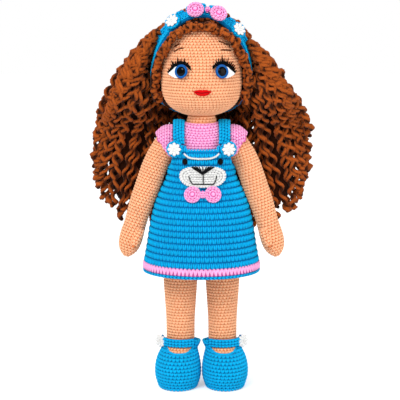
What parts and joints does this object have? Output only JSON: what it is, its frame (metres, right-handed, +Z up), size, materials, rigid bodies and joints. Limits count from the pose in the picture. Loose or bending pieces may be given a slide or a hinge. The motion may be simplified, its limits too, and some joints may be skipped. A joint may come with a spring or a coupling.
{
  "type": "crocheted doll",
  "caption": "Standing crocheted girl doll with corkscrew curls, headband, top, bibbed pinafore dress and strap shoes; its arms swing and its shoe straps open.",
  "frame": {"origin": "on the floor, in the middle of the width and depth of the whole doll with its hair", "axes": "+Z up, -Y the way the doll faces, +X towards her left hand"},
  "size_m": [0.1996, 0.1016, 0.3453],
  "materials": {
    "skin_yarn": "matte",
    "blue_yarn": "matte",
    "pink_yarn": "matte",
    "white_yarn": "matte",
    "hair_yarn": "matte",
    "black_yarn": "matte",
    "black_felt": "matte",
    "white_felt": "matte",
    "red_felt": "matte",
    "iris_plastic": "gloss",
    "pupil_plastic": "gloss",
    "washer_plastic": "satin",
    "rod_wood": "satin"
  },
  "bodies": {
    "root": {"band_bow_knot": "pink_yarn", "band_bow_left": "pink_yarn", "band_bow_right": "pink_yarn", "band_disc_left": "blue_yarn", "band_disc_right": "blue_yarn", "band_flower_left": "white_yarn", "band_flower_right": "white_yarn", "bear_nose": "black_yarn", "bib_cord": "white_yarn", "dress": "blue_yarn", "dress_bow_knot": "pink_yarn", "dress_bow_left": "pink_yarn", "dress_bow_right": "pink_yarn", "hair_back": "hair_yarn", "hair_cap": "hair_yarn", "hair_fringe": "hair_yarn", "hair_left": "hair_yarn", "hair_right": "hair_yarn", "head": "skin_yarn", "headband": "blue_yarn", "hem_last_round": "blue_yarn", "hem_pink_round": "pink_yarn", "left_bear_ear": "blue_yarn", "left_bear_eye": "black_yarn", "left_dress_strap": "blue_yarn", "left_ear_flower": "white_yarn", "left_eye_felt": "white_felt", "left_eye_iris": "iris_plastic", "left_eye_pupil": "pupil_plastic", "left_eye_washer": "washer_plastic", "left_lashes": "black_felt", "left_leg": "skin_yarn", "left_shoe": "blue_yarn", "left_sleeve": "pink_yarn", "lips": "red_felt", "muzzle": "white_yarn", "neck_rod": "rod_wood", "right_bear_ear": "blue_yarn", "right_bear_eye": "black_yarn", "right_dress_strap": "blue_yarn", "right_ear_flower": "white_yarn", "right_eye_felt": "white_felt", "right_eye_iris": "iris_plastic", "right_eye_pupil": "pupil_plastic", "right_eye_washer": "washer_plastic", "right_lashes": "black_felt", "right_leg": "skin_yarn", "right_shoe": "blue_yarn", "right_sleeve": "pink_yarn", "top": "pink_yarn", "torso": "skin_yarn"},
    "left_arm": {"left_arm": "skin_yarn", "left_thumb": "skin_yarn"},
    "right_arm": {"right_arm": "skin_yarn", "right_thumb": "skin_yarn"},
    "left_shoe_strap": {"left_shoe_strap": "blue_yarn", "left_shoe_flower": "white_yarn"},
    "right_shoe_strap": {"right_shoe_strap": "blue_yarn", "right_shoe_flower": "white_yarn"}
  },
  "joints": [
    {"name": "left_shoulder", "type": "hinge", "parent": "root", "child": "left_arm", "pos_m": [0.0285, -0.00608, 0.2235], "axis": [-1, 0, 0], "range_deg": [0, 50], "deforming": ["left_sleeve"]},
    {"name": "right_shoulder", "type": "hinge", "parent": "root", "child": "right_arm", "pos_m": [-0.0285, -0.00608, 0.2235], "axis": [-1, 0, 0], "range_deg": [0, 50], "deforming": ["right_sleeve"]},
    {"name": "left_shoe_strap_opens", "type": "hinge", "parent": "root", "child": "left_shoe_strap", "pos_m": [0.00604, -0.01665, 0.0366], "axis": [0, 0, -1], "range_deg": [0, 40]},
    {"name": "right_shoe_strap_opens", "type": "hinge", "parent": "root", "child": "right_shoe_strap", "pos_m": [-0.00604, -0.01665, 0.0366], "axis": [0, 0, 1], "range_deg": [0, 40]}
  ]
}
